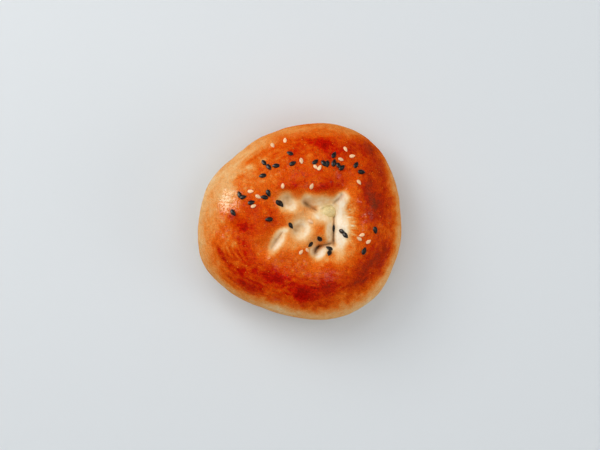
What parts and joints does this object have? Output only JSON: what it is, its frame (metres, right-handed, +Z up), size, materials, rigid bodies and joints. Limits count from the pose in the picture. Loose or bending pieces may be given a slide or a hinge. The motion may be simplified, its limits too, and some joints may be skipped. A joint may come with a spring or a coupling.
{
  "type": "filled bread bun",
  "caption": "Round leavened bun with a pinched, folded middle that shows a little cheese filling, a glazed browned crust and scattered sesame seeds.",
  "frame": {"origin": "Middle of the bounding box on the flat underside.", "axes": "+Z up out of the crown, +X along the longer side of the outline, +Y along the shorter one; in the view from above with +X to the right, the pinched fold lies a little right of the middle."},
  "size_m": [0.1033, 0.1004, 0.041],
  "materials": {
    "crust": "egg-washed crust, red-brown on top and pale gold at the sides, cream in the folds",
    "cheese": "moist, pale yellow",
    "black_sesame": "satin, near black",
    "white_sesame": "satin, toasted cream"
  },
  "bodies": {
    "root": {"bread_bun": "crust", "cheese_filling": "cheese"}
  },
  "joints": []
}
